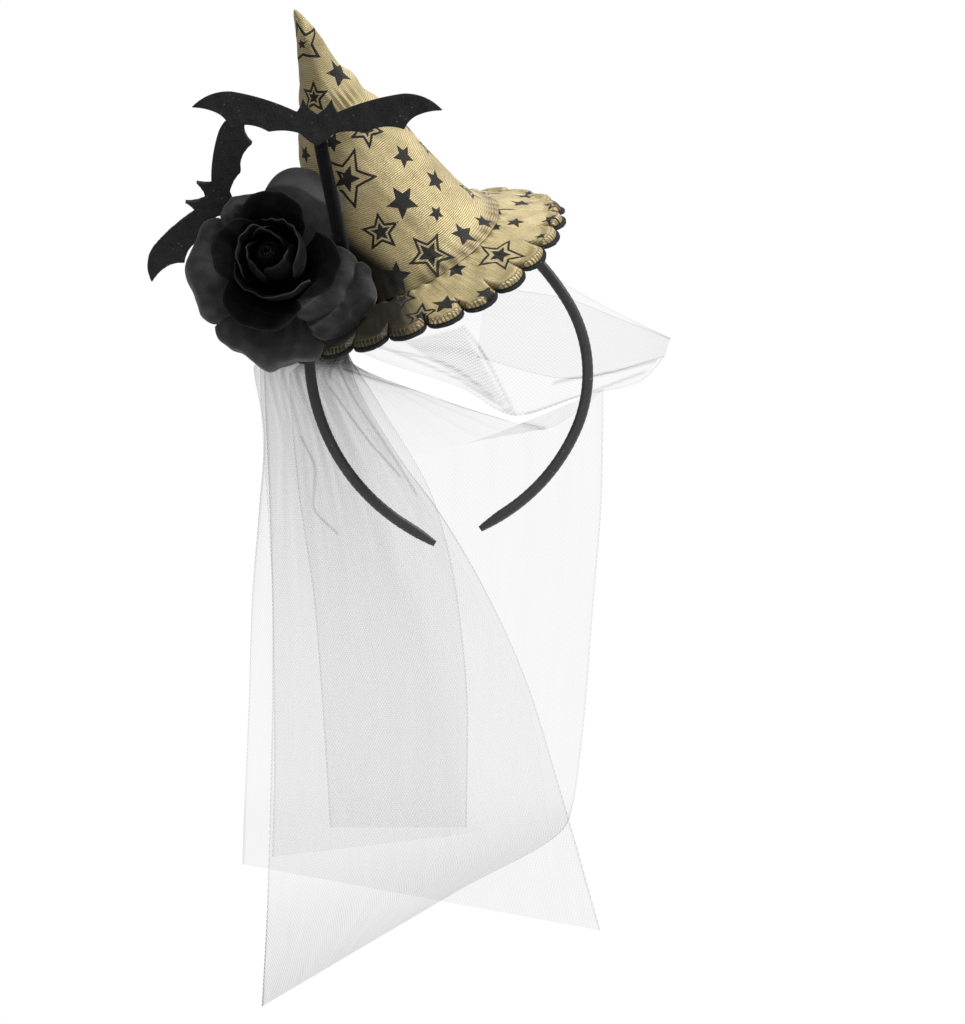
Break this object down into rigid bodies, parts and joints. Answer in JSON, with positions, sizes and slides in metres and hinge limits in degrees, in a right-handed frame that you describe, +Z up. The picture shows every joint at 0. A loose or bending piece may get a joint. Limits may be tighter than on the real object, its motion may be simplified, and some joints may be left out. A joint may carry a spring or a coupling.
{
  "type": "witch hat headband",
  "caption": "Costume headband with a small tilted witch hat of gold star-print cloth, a black fabric rose, felt bats on fuzzy wires and a short veil of black net.",
  "frame": {"origin": "highest point of the headband's inner face, where the top of the wearer's head comes", "axes": "+Z up as worn, +X along the headband's width towards its bare side, +Y to the back, away from the rose and the side that the picture shows"},
  "size_m": [0.2572, 0.1711, 0.4879],
  "materials": {
    "band_satin": "black satin ribbon wound over the hoop",
    "gold_cloth": "fine ribbed gold cloth with a sheen, printed with solid and outlined black stars",
    "black_felt": "thin matt black felt",
    "rose_silk": "matt black petal silk with greyer rolled rims",
    "black_flock": "matt black flocked felt with a pale grain",
    "black_chenille": "fuzzy black chenille over wire",
    "black_net": "soft fine net, mostly open"
  },
  "bodies": {
    "root": {"bat_front": "black_flock", "bat_left": "black_flock", "brim_lining": "black_felt", "hat_brim": "gold_cloth", "hat_crown": "gold_cloth", "headband": "band_satin", "rose_bud": "rose_silk", "rose_petal_01": "rose_silk", "rose_petal_02": "rose_silk", "rose_petal_03": "rose_silk", "rose_petal_04": "rose_silk", "rose_petal_05": "rose_silk", "rose_petal_06": "rose_silk", "rose_petal_07": "rose_silk", "rose_petal_08": "rose_silk", "rose_petal_09": "rose_silk", "rose_petal_10": "rose_silk", "rose_petal_11": "rose_silk", "rose_petal_12": "rose_silk", "rose_petal_13": "rose_silk", "rose_petal_14": "rose_silk", "rose_petal_15": "rose_silk", "rose_petal_16": "rose_silk", "rose_stalk": "black_chenille", "stem_front": "black_chenille", "stem_left": "black_chenille", "veil_back": "black_net", "veil_front": "black_net", "veil_inner": "black_net", "veil_loop": "black_net", "veil_under": "black_net"}
  },
  "joints": []
}
